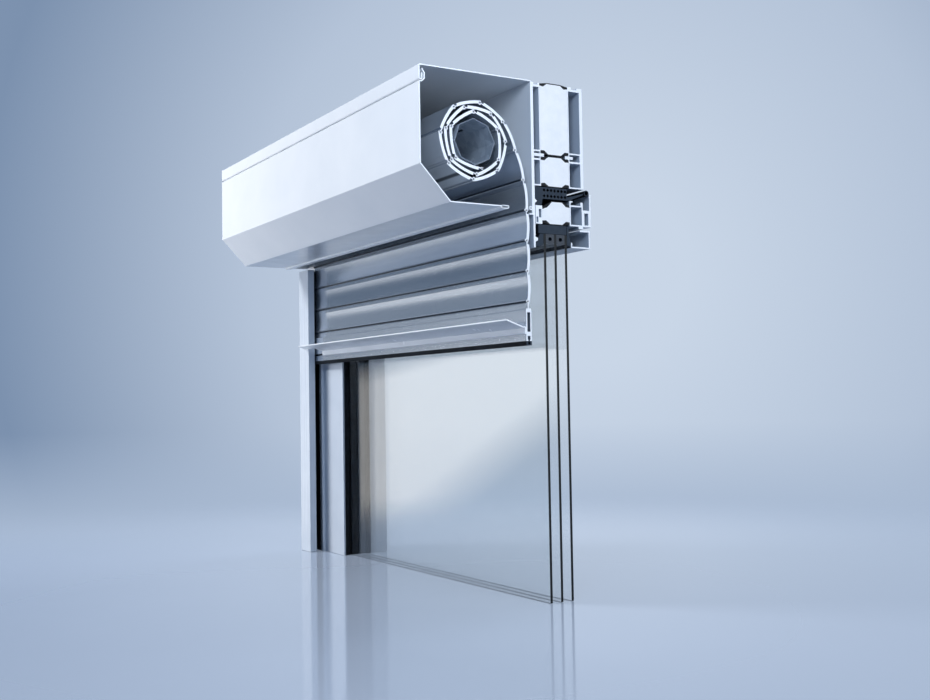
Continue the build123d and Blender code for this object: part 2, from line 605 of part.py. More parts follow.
# Guide rail, drawn in plan
plan = Plane(origin=(RAIL_OUT_X, WALL_Y, 0), x_dir=(1, 0, 0), z_dir=(0, 0, 1))
rail_slot = (last_y + BOTTOM_FRONT - RAIL_FRONT_GAP, last_y + BOTTOM_BACK + RAIL_BACK_GAP)
slot_back = RAIL_WIDTH - RAIL_SLOT_DEPTH
guide = rect(0, RAIL_WIDTH, -RAIL_DEPTH, 0)
guide -= rect(slot_back, RAIL_WIDTH + 1, *rail_slot)
guide -= rect(RAIL_WALL, slot_back - RAIL_WALL, rail_slot[0], -RAIL_WALL)
guide -= rect(RAIL_WALL, RAIL_WIDTH - RAIL_WALL, RAIL_WALL - RAIL_DEPTH, rail_slot[0] - RAIL_WALL)
brush_middle = RAIL_WIDTH - BRUSH_X
brushes = []
for side, way in zip(rail_slot, (-1, 1)):
    low, high = sorted((side, side + way * BRUSH_ROOT))
    guide -= rect(brush_middle - BRUSH_WIDTH / 2, brush_middle + BRUSH_WIDTH / 2, low, high)
    low, high = sorted((side + way * BRUSH_ROOT, side - way * BRUSH_OUT))
    brushes.append(rect(brush_middle - BRUSH_WIDTH / 2, brush_middle + BRUSH_WIDTH / 2, low, high))
guide_rail = extrude(plan * guide, amount=RAIL_TOP, dir=(0, 0, 1))
screw_x = RAIL_OUT_X + slot_back / 2
screw_step = (RAIL_TOP - 2 * RAIL_SCREW_END) / (RAIL_SCREWS - 1)
rail_screw_z = [RAIL_SCREW_END + k * screw_step for k in range(RAIL_SCREWS)]
for z in rail_screw_z:
    guide_rail -= y_hole(screw_x, -RAIL_WALL - 1, z, RAIL_WALL + 2)
nodes["guide_rail"] = [guide_rail]
nodes["guide_brushes"] = [extrude(plan * brush, amount=RAIL_TOP, dir=(0, 0, 1)) for brush in brushes]
nodes["screws"] += [y_screw(screw_x, -RAIL_WALL, z, RAIL_WALL + FRONT_WALL) for z in rail_screw_z]

# Extension profile above the frame
def lifted(sketch):
    """Length of an extension section, heights counted from the frame's top."""
    return bar(Pos(0, FRAME_TOP) * sketch, far=FRAME_X)


ext_out = rect(0, OUT_SHELL, EXT_GAP, EXT_TOP) + rect(OUT_SHELL, OUT_SHELL + PRONG, EXT_GAP, PRONG_THICK)
ext_out -= rect(FRONT_WALL, OUT_CHAMBER, *EXT_CHAMBER)
ext_out -= rect(FRONT_WALL, OUT_CHAMBER, *CLIP_SLOT)
ext_out -= rect(*EXT_OUT_GROOVE, EXT_GROOVE, EXT_TOP + 1)
ext_outer = lifted(ext_out)
for x in COVER_SCREW_X:
    ext_outer -= y_hole(x, -1, COVER_SCREW_Z, COVER_SCREW_LENGTH + 1)
nodes["extension_outer"] = [ext_outer]

ext_in = rect(IN_SHELL, FRAME_DEPTH, EXT_GAP, EXT_TOP) + rect(IN_SHELL - PRONG, IN_SHELL, EXT_GAP, PRONG_THICK)
ext_in -= rect(*IN_CHAMBER, *EXT_CHAMBER)
ext_in -= rect(IN_CHAMBER[0], CLIP_OPEN[0], *CLIP_SLOT)
ext_in -= rect(*CLIP_OPEN, -1, CLIP_SLOT[1])
ext_in -= rect(*EXT_IN_GROOVE, EXT_GROOVE, EXT_TOP + 1)
nodes["extension_inner"] = [lifted(ext_in)]

low_strip = (OUT_SHELL, CLIP_FOOT, IN_SHELL, CLIP_FOOT, CLIP_WEB, -1)
top_strip = (OUT_SHELL, EXT_FOOT, IN_SHELL, EXT_FOOT, EXT_WEB, 1)
foam = rect(OUT_SHELL + FOAM_GAP, IN_SHELL - FOAM_GAP, 0, EXT_TOP)
foam -= strip_notch(*low_strip) + strip_notch(*top_strip)
nodes["foam_cores"] = [lifted(foam)]
nodes["tie_strips"] = [lifted(strip(*low_strip)), lifted(strip(*top_strip))]

# Frame
frame_out = rect(0, FRONT_WALL, 0, FRAME_LEG_END) + rect(0, OUT_SHELL, 0, FRAME_END)
frame_out += rect(OUT_SHELL, OUT_SHELL + PRONG, 0, PRONG_THICK)
frame_out -= rect(FRONT_WALL, OUT_CHAMBER, *CHAMBER)
frame_out -= rect(FRONT_WALL, OUT_CHAMBER, *CLIP_SLOT)
seal_hook_middle = sum(SEAL_HOOK) / 2
frame_out += outline((FRONT_WALL, SEAL_HOOK[0]), (HOOK_OUT, seal_hook_middle), (FRONT_WALL, SEAL_HOOK[1]))
frame_out += outline((FRONT_WALL, EDGE_HOOK[0]), (HOOK_OUT, EDGE_HOOK[0] + 1),
                     (HOOK_OUT, EDGE_HOOK[1] - 2), (FRONT_WALL, EDGE_HOOK[1]))
frame_outer = mitred(frame_out)
for z in rail_screw_z:
    frame_outer[1] -= y_hole(screw_x, -1, z, FRONT_WALL + 1 + SCREW_GAP)
nodes["frame_outer"] = frame_outer

frame_in = rect(IN_SHELL, FRAME_DEPTH, 0, FRAME_END) + rect(IN_SHELL - PRONG, IN_SHELL, 0, PRONG_THICK)
frame_in -= rect(*IN_CHAMBER, *CHAMBER)
frame_in -= rect(IN_CHAMBER[0], CLIP_OPEN[0], *CLIP_SLOT)
frame_in -= rect(*CLIP_OPEN, -1, CLIP_SLOT[1])
nodes["frame_inner"] = mitred(frame_in)

end_strip = (OUT_SHELL, END_FOOT, IN_SHELL, END_FOOT, END_WEB, 1)
foam = rect(OUT_SHELL + FOAM_GAP, IN_SHELL - FOAM_GAP, 0, FRAME_END)
foam -= strip_notch(*low_strip) + strip_notch(*end_strip)
nodes["foam_cores"] += mitred(foam)
nodes["tie_strips"] += mitred(strip(*low_strip)) + mitred(strip(*end_strip))

# Seal between frame and sash, with a row of round cells
gasket = rect(*GASKET_BODY)
cell_step = (GASKET_BODY[1] - GASKET_BODY[0]) / GASKET_CELLS
row_step = (GASKET_BODY[3] - GASKET_BODY[2]) / GASKET_ROWS
for row in range(GASKET_ROWS):
    for k in range(GASKET_CELLS):
        cell = Pos(GASKET_BODY[0] + cell_step * (k + 0.5), GASKET_BODY[2] + row_step * (row + 0.5))
        gasket -= cell * RegularPolygon(GASKET_CELL_R, CELL_SIDES)
seal_y = FRONT_WALL + SEAL_GAP
foot_y = GASKET_BODY[0] + SEAL_GAP
hook_s = sum(SEAL_HOOK) / 2
gasket += outline((seal_y, GASKET_BODY[2]), (foot_y, GASKET_BODY[2]), (foot_y, GASKET_BODY[3]),
                  (OUT_SHELL, SEAL_FOOT_END), (seal_y, SEAL_FOOT_END), (seal_y, SEAL_HOOK[1] + SEAL_GAP),
                  (HOOK_OUT + SEAL_GAP, hook_s + 1), (HOOK_OUT + SEAL_GAP, hook_s - 1),
                  (seal_y, SEAL_HOOK[0] - SEAL_GAP))
fin_y, fin_s, fin_thick = SEAL_FIN
fin_root = GASKET_BODY[3] - SEAL_GAP
fin_foot = GASKET_BODY[1] - SEAL_GAP
gasket += outline((fin_y, fin_s), (fin_y, fin_s + fin_thick), (IN_SHELL - 1, fin_root), (fin_foot, fin_root),
                  (fin_foot, fin_root - 2 * fin_thick))
nodes["centre_gasket"] = mitred(gasket)

# Sash
sash_out = rect(*SASH_OUT, SASH_TOP, SASH_END) - rect(*SASH_SMALL_CHAMBER) - rect(*SASH_CORNER_CHAMBER)
nodes["sash_outer"] = mitred(sash_out)

sash_in = rect(*SASH_SHELL, SASH_CHAMBER_TOP, SASH_END)
sash_in -= rect(SASH_SHELL[0] + SASH_WALL, SASH_SHELL[1] - SASH_WALL, SASH_CHAMBER_TOP + SASH_WALL, SASH_END - SASH_WALL)
sash_in += rect(*SASH_STEP, SASH_END) - rect(*SASH_STEP_CHAMBER)
sash_in += rect(FLANGE[0], WINDOW_DEPTH, FLANGE[1], SASH_END)
sash_in += rect(SASH_SHELL[0], SASH_SHELL[0] + SASH_WALL, SASH_HOOK_TOP, SASH_CHAMBER_TOP)
sash_in += rect(SASH_SHELL[0], SASH_SHELL[0] + SASH_HOOK, SASH_HOOK_TOP, SASH_HOOK_TOP + SASH_WALL)
sash_in += rect(SASH_LIP[0], SASH_SHELL[1], SASH_LIP[1], SASH_CHAMBER_TOP)
sash_in += rect(BEAD_CLIP[0], SASH_SHELL[1], SASH_END, BEAD_CLIP[1])
nodes["sash_inner"] = mitred(sash_in)

sash_top_strip = (SASH_OUT[1], SASH_FOOT_OUT, SASH_SHELL[0], SASH_FOOT_IN, SASH_WEB, -1, SASH_FOOT)
sash_end_strip = (SASH_OUT[1], SASH_END_FOOT, SASH_SHELL[0], SASH_END_FOOT, SASH_END_WEB, 1)
foam = rect(SASH_OUT[1] + FOAM_GAP, SASH_SHELL[0] - FOAM_GAP, SASH_WEB, SASH_END)
foam -= strip_notch(*sash_top_strip) + strip_notch(*sash_end_strip)
nodes["foam_cores"] += mitred(foam)
nodes["tie_strips"] += mitred(strip(*sash_top_strip)) + mitred(strip(*sash_end_strip))

stop_y = (FRAME_DEPTH + FLANGE[0]) / 2
stop_s = FLANGE[1] - STOP_SEAL_WALL
stop_seal = Pos(stop_y, stop_s) * (small_round(STOP_SEAL_R) - small_round(STOP_SEAL_R - STOP_SEAL_WALL))
stop_seal += rect(stop_y + STOP_SEAL_R / 2, FLANGE[0], FLANGE[1], FLANGE[1] + STOP_SEAL_FOOT)
nodes["stop_gasket"] = mitred(stop_seal)

# Glazing
pane_names = ("pane_outer", "pane_middle", "pane_inner")
pane_width = NEAR_X - FRAME_X - PANE_EDGE
pane_height = FRAME_TOP - PANE_EDGE
for name, y in zip(pane_names, PANE_Y):
    pane = Box(pane_width, PANE_THICK, pane_height)
    nodes[name] = [Pos(NEAR_X - pane_width / 2, WALL_Y + y, pane_height / 2) * pane]

spacers = []
for low, high in zip(PANE_Y, PANE_Y[1:]):
    middle = (low + high) / 2
    tube = rect(low + PANE_THICK / 2, high - PANE_THICK / 2, PANE_EDGE, SPACER_END)
    tube -= Pos(middle, (PANE_EDGE + SPACER_END) / 2) * small_round(SPACER_HOLE_R)
    spacers += mitred(tube)
nodes["spacers"] = spacers

nodes["glazing_packer"] = mitred(rect(*PACKER))
pane_front = PANE_Y[0] - PANE_THICK / 2 - GASKET_GAP
pane_back = PANE_Y[2] + PANE_THICK / 2 + GASKET_GAP
front_low = FRONT_WALL + GASKET_GAP
hook_low = HOOK_OUT + GASKET_GAP
outer_gasket = outline((front_low, EDGE_HOOK[1] + 1), (hook_low, EDGE_HOOK[1] - 1), (hook_low, EDGE_HOOK[0] + 1),
                       (hook_low + 3, PANE_EDGE), (pane_front, PANE_EDGE), (pane_front, SPACER_END + 1),
                       (hook_low + 4, SPACER_END + 4), (front_low, SPACER_END + 4))
bead_low = GLAZING_BEAD[0] - GASKET_GAP
inner_gasket = outline((pane_back, SASH_END + 2), (pane_back + 3, SASH_END + 1.5), (pane_back + 4, PANE_EDGE),
                       (bead_low, SPACER_END - 4), (bead_low, SPACER_END + 3), (pane_back, SPACER_END))
nodes["glazing_gaskets"] = mitred(outer_gasket) + mitred(inner_gasket)

y_low, y_high, s_low, s_high = GLAZING_BEAD
glazing = rect(y_low, y_high, s_high - BEAD_WALL, s_high) + rect(y_high - BEAD_WALL, y_high, s_low, s_high)
glazing += rect(y_low, y_low + BEAD_WALL, s_high - BEAD_LEG, s_high)
glazing += rect(BEAD_TOP_Y, y_high, s_low, s_low + BEAD_WALL)
nodes["glazing_bead"] = mitred(glazing)

os.makedirs("parts", exist_ok=True)
for name, pieces in nodes.items():
    solids = [solid for piece in pieces for solid in piece.solids()]
    export_step(Compound(solids), f"parts/{name}.step")
print(len(nodes), "nodes", sum(len(pieces) for pieces in nodes.values()), "pieces")
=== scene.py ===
import json
import math
import random

import bmesh
import bpy
from mathutils import Matrix, Vector


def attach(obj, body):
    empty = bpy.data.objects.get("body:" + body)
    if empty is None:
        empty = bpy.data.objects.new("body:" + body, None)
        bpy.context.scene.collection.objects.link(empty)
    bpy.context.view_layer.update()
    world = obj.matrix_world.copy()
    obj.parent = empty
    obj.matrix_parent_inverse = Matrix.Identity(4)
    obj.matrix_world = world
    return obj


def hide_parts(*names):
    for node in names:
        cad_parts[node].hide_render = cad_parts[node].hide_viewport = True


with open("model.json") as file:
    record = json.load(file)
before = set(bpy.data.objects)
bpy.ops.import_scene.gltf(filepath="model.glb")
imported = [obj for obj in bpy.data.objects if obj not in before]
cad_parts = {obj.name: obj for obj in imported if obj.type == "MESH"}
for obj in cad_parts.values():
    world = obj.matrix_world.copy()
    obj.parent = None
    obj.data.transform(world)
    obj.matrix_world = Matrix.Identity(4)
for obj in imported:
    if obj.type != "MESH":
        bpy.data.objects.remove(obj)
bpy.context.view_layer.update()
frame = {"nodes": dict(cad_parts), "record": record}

# Places and sizes in millimetres, as in the part: +X is the sawn end, +Y the room, Z up
MM = 0.001
SAWN_X = 400.0
FRAME_X = -380.0
FRAME_TOP = 629.0
RAIL_HEIGHT = 542.0
FIRST_JOINT = 590.8
SLAT_PITCH = 42.7
SLAT_FRONT_Y = 34.0


def linear(hex_colour):
    """Linear colour of an sRGB hex value."""
    parts = [int(hex_colour[k:k + 2], 16) / 255 for k in (1, 3, 5)]
    return tuple(p / 12.92 if p <= 0.04045 else ((p + 0.055) / 1.055) ** 2.4 for p in parts) + (1.0,)


def node(tree, kind, inputs=None, **settings):
    """Adds one shader node with its settings, and fills or links the inputs given by name or number."""
    made = tree.nodes.new("ShaderNode" + kind)
    for name, value in settings.items():
        setattr(made, name, value)
    for key, value in (inputs or {}).items():
        if isinstance(key, int):
            socket = made.inputs[key]
        else:
            socket = next(entry for entry in made.inputs if entry.enabled and entry.name == key)
        if isinstance(value, bpy.types.Node):
            value = next(output for output in value.outputs if output.enabled)
        if isinstance(value, bpy.types.NodeSocket):
            tree.links.new(value, socket)
        else:
            socket.default_value = linear(value) if isinstance(value, str) else value
    return made


# Patterns that several finishes share

def grain(tree, size_mm, low=0.0, high=1.0, stretch=(1, 1, 1), detail=3.0, spread=0.2):
    """Value that wanders from low to high in patches of this size, drawn out along an axis by stretch."""
    middle = 0.5
    where = node(tree, "Mapping", {
        "Vector": node(tree, "TexCoord").outputs["Object"],
        "Scale": [1 / (size_mm * MM * longer) for longer in stretch]})
    noise = node(tree, "TexNoise", {"Vector": where, "Scale": 1.0, "Detail": detail})
    return node(tree, "MapRange", {
        "Value": noise, "From Min": middle - spread, "From Max": middle + spread,
        "To Min": low, "To Max": high})


def cells(tree, size_mm, randomness=1.0):
    """Voronoi cells of this size: scattered, or in even rows where randomness is 0."""
    where = node(tree, "Mapping", {
        "Vector": node(tree, "TexCoord").outputs["Object"], "Scale": [1 / (size_mm * MM)] * 3})
    return node(tree, "TexVoronoi", {"Vector": where, "Scale": 1.0, "Randomness": randomness})


def sawn_end(tree):
    """1 on the faces that the saw left at the near end, 0 elsewhere."""
    margin = 0.5
    facing_end = 0.7
    coordinates = node(tree, "TexCoord")
    place = node(tree, "SeparateXYZ", {"Vector": coordinates.outputs["Object"]})
    facing = node(tree, "SeparateXYZ", {"Vector": coordinates.outputs["Normal"]})
    at_end = node(tree, "Math", {0: place.outputs["X"], 1: (SAWN_X - margin) * MM}, operation="GREATER_THAN")
    faces_out = node(tree, "Math", {0: facing.outputs["X"], 1: facing_end}, operation="GREATER_THAN")
    return node(tree, "Math", {0: at_end, 1: faces_out}, operation="MULTIPLY")


def saw_marks(tree, size_mm=0.9):
    """Fine parallel marks of the saw blade. Real ones are 0.2 mm apart, drawn coarser so that they show."""
    return grain(tree, size_mm, stretch=(1, 12, 1), detail=2.0)


def painted_joint_shade(tree):
    """1 in the painted shade where one hanging slat hooks into the next, 0 elsewhere: a dark line that
    stands in for the shade in the gap between them.
    """
    at_joint = 0.5
    edge = 0.045
    core = 0.02
    over_first = 3.0
    place = node(tree, "SeparateXYZ", {"Vector": node(tree, "TexCoord").outputs["Object"]})
    start = (FIRST_JOINT + SLAT_PITCH / 2) * MM
    under_start = node(tree, "Math", {0: start, 1: place.outputs["Z"]}, operation="SUBTRACT")
    pitches = node(tree, "Math", {0: under_start, 1: SLAT_PITCH * MM}, operation="DIVIDE")
    part = node(tree, "Math", {0: pitches}, operation="FRACT")
    off_joint = node(tree, "Math", {0: part, 1: at_joint}, operation="SUBTRACT")
    distance = node(tree, "Math", {0: off_joint}, operation="ABSOLUTE")
    near = node(tree, "MapRange", {"Value": distance, "From Min": edge, "From Max": core})
    top = (FIRST_JOINT + over_first) * MM
    hanging = node(tree, "Math", {0: place.outputs["Z"], 1: top}, operation="LESS_THAN")
    in_front = node(tree, "Math", {0: place.outputs["Y"], 1: SLAT_FRONT_Y * MM}, operation="LESS_THAN")
    shown = node(tree, "Math", {0: near, 1: hanging}, operation="MULTIPLY")
    return node(tree, "Math", {0: shown, 1: in_front}, operation="MULTIPLY")


# Finishes: each function builds a shader in the tree and returns it

def finish(name, surface, *looks):
    """Material whose shader comes from one of the functions below."""
    material = bpy.data.materials.new(name)
    material.use_nodes = True
    tree = material.node_tree
    tree.nodes.clear()
    node(tree, "OutputMaterial", {"Surface": surface(tree, *looks)})
    return material


def powder_coat(tree, top, low, sawn, gloss, dust):
    """Gloss powder coat on sheet: very slight orange peel, a little dust, bright metal where it was sawn."""
    end = sawn_end(tree)
    clouds = grain(tree, size_mm=90)
    coat = node(tree, "Mix", {"Factor": clouds, "A": top, "B": low}, data_type="RGBA")
    colour = node(tree, "Mix", {"Factor": end, "A": coat, "B": sawn}, data_type="RGBA")
    dull = grain(tree, size_mm=35, low=gloss, high=gloss + dust)
    rough = node(tree, "Mix", {"Factor": end, "A": dull, "B": 0.42})
    peel = grain(tree, size_mm=2.2, detail=1.0)
    height = node(tree, "Mix", {"Factor": end, "A": peel, "B": saw_marks(tree)})
    relief = node(tree, "Bump", {"Height": height, "Distance": 0.012 * MM})
    return node(tree, "BsdfPrincipled", {
        "Base Color": colour, "Roughness": rough, "Normal": relief, "IOR": 1.5})


def drawn_profile(tree, top, low, sawn, gloss):
    """Coated extrusion: faint die lines along its length, bright sawn face with blade marks."""
    # Real die lines are 0.1 mm apart, drawn at 0.8 mm, along X in the head and along Z in the jamb
    end = sawn_end(tree)
    place = node(tree, "SeparateXYZ", {"Vector": node(tree, "TexCoord").outputs["Object"]})
    off_corner = node(tree, "Math", {0: place.outputs["X"], 1: place.outputs["Z"]}, operation="ADD")
    upright = node(tree, "Math", {0: off_corner, 1: (FRAME_X + FRAME_TOP) * MM}, operation="LESS_THAN")
    lines_head = grain(tree, size_mm=0.8, stretch=(400, 1, 1), detail=2.0)
    lines_jamb = grain(tree, size_mm=0.8, stretch=(1, 1, 400), detail=2.0)
    lines = node(tree, "Mix", {"Factor": upright, "A": lines_head, "B": lines_jamb})
    clouds = grain(tree, size_mm=60)
    coat = node(tree, "Mix", {"Factor": clouds, "A": top, "B": low}, data_type="RGBA")
    colour = node(tree, "Mix", {"Factor": end, "A": coat, "B": sawn}, data_type="RGBA")
    satin = node(tree, "Mix", {"Factor": lines, "A": gloss, "B": gloss + 0.08})
    rough = node(tree, "Mix", {"Factor": end, "A": satin, "B": 0.4})
    height = node(tree, "Mix", {"Factor": end, "A": lines, "B": saw_marks(tree)})
    relief = node(tree, "Bump", {"Height": height, "Distance": 0.01 * MM})
    return node(tree, "BsdfPrincipled", {
        "Base Color": colour, "Roughness": rough, "Normal": relief, "IOR": 1.5})


def rolled_slat(tree, top, low, sawn, joint_shade_colour):
    """Silver lacquer on roll-formed aluminium: mirrors light and dark softly, with faint roller lines and
    painted shade at the joints of hanging slats.
    """
    # Real roller lines are 0.2 mm apart, drawn at 1.4 mm
    end = sawn_end(tree)
    lines = grain(tree, size_mm=1.4, stretch=(300, 1, 1), detail=2.0)
    clouds = grain(tree, size_mm=70, stretch=(4, 1, 1))
    tone = node(tree, "Mix", {"Factor": 0.35, "A": clouds, "B": lines})
    lacquer = node(tree, "Mix", {"Factor": tone, "A": top, "B": low}, data_type="RGBA")
    # Colour turns dark at the joints: painted shade for the gap between hanging slats
    coat = node(tree, "Mix", {"Factor": painted_joint_shade(tree), "A": lacquer, "B": joint_shade_colour}, data_type="RGBA")
    colour = node(tree, "Mix", {"Factor": end, "A": coat, "B": sawn}, data_type="RGBA")
    satin = node(tree, "Mix", {"Factor": clouds, "A": 0.18, "B": 0.22})
    rough = node(tree, "Mix", {"Factor": end, "A": satin, "B": 0.4})
    flake = node(tree, "Mix", {"Factor": end, "A": 0.75, "B": 0.0})
    height = node(tree, "Mix", {"Factor": end, "A": lines, "B": saw_marks(tree, size_mm=0.6)})
    relief = node(tree, "Bump", {"Height": height, "Distance": 0.003 * MM})
    return node(tree, "BsdfPrincipled", {
        "Base Color": colour, "Roughness": rough, "Metallic": flake, "Normal": relief})


def cut_foam(tree):
    """Rigid foam, cut with a knife: matt white with open cells. Real cells are 0.3 mm, drawn at 0.9 mm."""
    pores = cells(tree, size_mm=0.9).outputs["Distance"]
    walls = node(tree, "MapRange", {"Value": pores, "From Min": 0.1, "From Max": 0.7})
    tone = node(tree, "Mix", {"Factor": 0.5, "A": walls, "B": grain(tree, size_mm=14)})
    colour = node(tree, "Mix", {"Factor": tone, "A": "#eceef0", "B": "#fbfbfa"}, data_type="RGBA")
    rough = grain(tree, size_mm=5, low=0.86, high=0.97)
    relief = node(tree, "Bump", {"Height": walls, "Distance": 0.12 * MM})
    return node(tree, "BsdfPrincipled", {
        "Base Color": colour, "Roughness": rough, "Normal": relief, "IOR": 1.45})


def moulded_polyamide(tree):
    """Black glass-filled polyamide: matt, with pale fibres. Real ones are 0.01 mm thick, drawn at 0.5 mm."""
    fibres = grain(tree, size_mm=0.5, stretch=(14, 1, 1), detail=2.0, spread=0.12)
    colour = node(tree, "Mix", {"Factor": fibres, "A": "#08090b", "B": "#14161a"}, data_type="RGBA")
    rough = node(tree, "Mix", {"Factor": fibres, "A": 0.7, "B": 0.55})
    relief = node(tree, "Bump", {"Height": fibres, "Distance": 0.03 * MM})
    return node(tree, "BsdfPrincipled", {
        "Base Color": colour, "Roughness": rough, "Normal": relief, "IOR": 1.53, "Specular IOR Level": 0.25})


def sealing_rubber(tree):
    """Extruded EPDM rubber: soft black, matt, with a grey bloom in patches, and grey where it was cut."""
    bloom = grain(tree, size_mm=9, stretch=(5, 1, 1))
    skin = grain(tree, size_mm=0.6, detail=2.0)
    black = node(tree, "Mix", {"Factor": bloom, "A": "#0b0c0e", "B": "#1a1d21"}, data_type="RGBA")
    colour = node(tree, "Mix", {"Factor": sawn_end(tree), "A": black, "B": "#2f3842"}, data_type="RGBA")
    rough = grain(tree, size_mm=6, low=0.65, high=0.85)
    relief = node(tree, "Bump", {"Height": skin, "Distance": 0.04 * MM})
    return node(tree, "BsdfPrincipled", {
        "Base Color": colour, "Roughness": rough, "Normal": relief, "IOR": 1.5, "Specular IOR Level": 0.25})


def brush_fibre(tree):
    """Polypropylene pile: dark grey bristles, each a little lighter or darker."""
    tone = grain(tree, size_mm=1.1, detail=1.0)
    colour = node(tree, "Mix", {"Factor": tone, "A": "#15171b", "B": "#3a3f47"}, data_type="RGBA")
    rough = grain(tree, size_mm=2, low=0.5, high=0.75)
    relief = node(tree, "Bump", {"Height": tone, "Distance": 0.05 * MM})
    return node(tree, "BsdfPrincipled", {
        "Base Color": colour, "Roughness": rough, "Normal": relief, "IOR": 1.49})


def dark_spacer(tree):
    """Black coated spacer bar: satin, with rows of drying holes. Real holes are 0.2 mm, drawn at 0.8 mm."""
    dots = cells(tree, size_mm=3.2, randomness=0.0).outputs["Distance"]
    holes = node(tree, "MapRange", {"Value": dots, "From Min": 0.1, "From Max": 0.14})
    clouds = grain(tree, size_mm=8)
    coat = node(tree, "Mix", {"Factor": clouds, "A": "#18222d", "B": "#202d3a"}, data_type="RGBA")
    colour = node(tree, "Mix", {"Factor": holes, "A": "#08090b", "B": coat}, data_type="RGBA")
    rough = node(tree, "Mix", {"Factor": holes, "A": 0.8, "B": 0.38})
    relief = node(tree, "Bump", {"Height": holes, "Distance": 0.08 * MM})
    return node(tree, "BsdfPrincipled", {
        "Base Color": colour, "Roughness": rough, "Normal": relief, "IOR": 1.5})


def zinc_spangle(tree):
    """Hot-dip galvanised steel: flat zinc crystals some 9 mm across, each with its own grey and sheen."""
    crystals = cells(tree, size_mm=9).outputs["Color"]
    shade = node(tree, "SeparateColor", {"Color": crystals})
    end = sawn_end(tree)
    zinc = node(tree, "Mix", {"Factor": shade, "A": "#b4bec9", "B": "#d0d8e0"}, data_type="RGBA")
    colour = node(tree, "Mix", {"Factor": end, "A": zinc, "B": "#66727f"}, data_type="RGBA")
    rough = node(tree, "Mix", {"Factor": shade, "A": 0.4, "B": 0.55})
    height = node(tree, "Mix", {"Factor": end, "A": grain(tree, size_mm=1.5), "B": saw_marks(tree)})
    relief = node(tree, "Bump", {"Height": height, "Distance": 0.01 * MM})
    return node(tree, "BsdfPrincipled", {
        "Base Color": colour, "Roughness": rough, "Metallic": 0.4, "Normal": relief})


def motor_enamel(tree):
    """Stove enamel on the motor's tube: dark grey, satin, with rub marks from pushing it into the barrel."""
    rubs = grain(tree, size_mm=2.5, stretch=(30, 1, 1), spread=0.08)
    colour = node(tree, "Mix", {"Factor": rubs, "A": "#3b4148", "B": "#4c535b"}, data_type="RGBA")
    rough = node(tree, "Mix", {"Factor": rubs, "A": 0.36, "B": 0.5})
    relief = node(tree, "Bump", {"Height": rubs, "Distance": 0.01 * MM})
    return node(tree, "BsdfPrincipled", {
        "Base Color": colour, "Roughness": rough, "Normal": relief, "IOR": 1.5})


def zinc_plate(tree):
    """Bright zinc plating on screws: cool silver, fine scratches."""
    scratches = grain(tree, size_mm=0.7, detail=4.0)
    colour = node(tree, "Mix", {"Factor": scratches, "A": "#b9bec6", "B": "#d5d9de"}, data_type="RGBA")
    rough = node(tree, "Mix", {"Factor": scratches, "A": 0.22, "B": 0.36})
    relief = node(tree, "Bump", {"Height": scratches, "Distance": 0.008 * MM})
    return node(tree, "BsdfPrincipled", {
        "Base Color": colour, "Roughness": rough, "Metallic": 1.0, "Normal": relief})


def float_glass(tree):
    """Clear float glass; its ground edges are painted nearly black, as painted shade for the dark look that
    light running along inside the pane gives them.
    """
    facing_out = 0.5
    facing = node(tree, "SeparateXYZ", {"Vector": node(tree, "TexCoord").outputs["Normal"]})
    across = node(tree, "Math", {0: facing.outputs["Y"]}, operation="ABSOLUTE")
    edge = node(tree, "Math", {0: across, 1: facing_out}, operation="LESS_THAN")
    smears = grain(tree, size_mm=120, high=0.025, stretch=(1, 1, 2))
    waves = node(tree, "Bump", {"Height": grain(tree, size_mm=260), "Distance": 0.02 * MM})
    clear = node(tree, "BsdfPrincipled", {
        "Base Color": "#fdfefe", "Roughness": smears, "Normal": waves, "IOR": 1.52,
        "Transmission Weight": 1.0})
    # Painted shade on the ground edges: an opaque dark coat in place of the optical darkening
    ground = grain(tree, size_mm=0.8)
    shade = node(tree, "Mix", {"Factor": ground, "A": "#05080a", "B": "#0f171b"}, data_type="RGBA")
    rough = node(tree, "Mix", {"Factor": ground, "A": 0.3, "B": 0.5})
    relief = node(tree, "Bump", {"Height": ground, "Distance": 0.05 * MM})
    dark = node(tree, "BsdfPrincipled", {
        "Base Color": shade, "Roughness": rough, "Normal": relief, "IOR": 1.52, "Specular IOR Level": 0.2})
    return node(tree, "MixShader", {0: edge, 1: clear, 2: dark})


finishes = {
    "box_lacquer": finish("gloss_powder_coat", powder_coat, "#f2f4f6", "#eceff2", "#f7f9fb", 0.16, 0.08),
    "frame_lacquer": finish("coated_extrusion", drawn_profile, "#c6ced8", "#bec7d2", "#f3f6f9", 0.3),
    "rail_aluminium": finish("coated_rail", drawn_profile, "#d3dae2", "#cad2dc", "#f3f6f9", 0.24),
    # The slat finish's last colour is the painted shade at the joints between hanging slats
    "slat_aluminium": finish("rolled_slat_lacquer", rolled_slat, "#d2dae3", "#c6cfda", "#f3f6f9", "#28313b"),
    "foam": finish("rigid_foam", cut_foam),
    "polyamide": finish("glass_filled_polyamide", moulded_polyamide),
    "black_rubber": finish("epdm_rubber", sealing_rubber),
    "brush_pile": finish("bristle_pile", brush_fibre),
    "spacer_black": finish("black_spacer_bar", dark_spacer),
    "clear_glass": finish("float_glass", float_glass),
    "galvanised_steel": finish("galvanised_steel", zinc_spangle),
    "motor_housing": finish("motor_enamel", motor_enamel),
    "bright_steel": finish("zinc_plated_steel", zinc_plate),
}
stop_coat = finish("white_stop_coat", powder_coat, "#f0f3f6", "#e8ecf0", "#f7f9fb", 0.2, 0.08)

for row in frame["record"]["subparts"]:
    material = stop_coat if row["node"] == "stop_angle" else finishes[row["material_slot"]]
    for place in frame["nodes"][row["node"]].material_slots:
        place.material = material


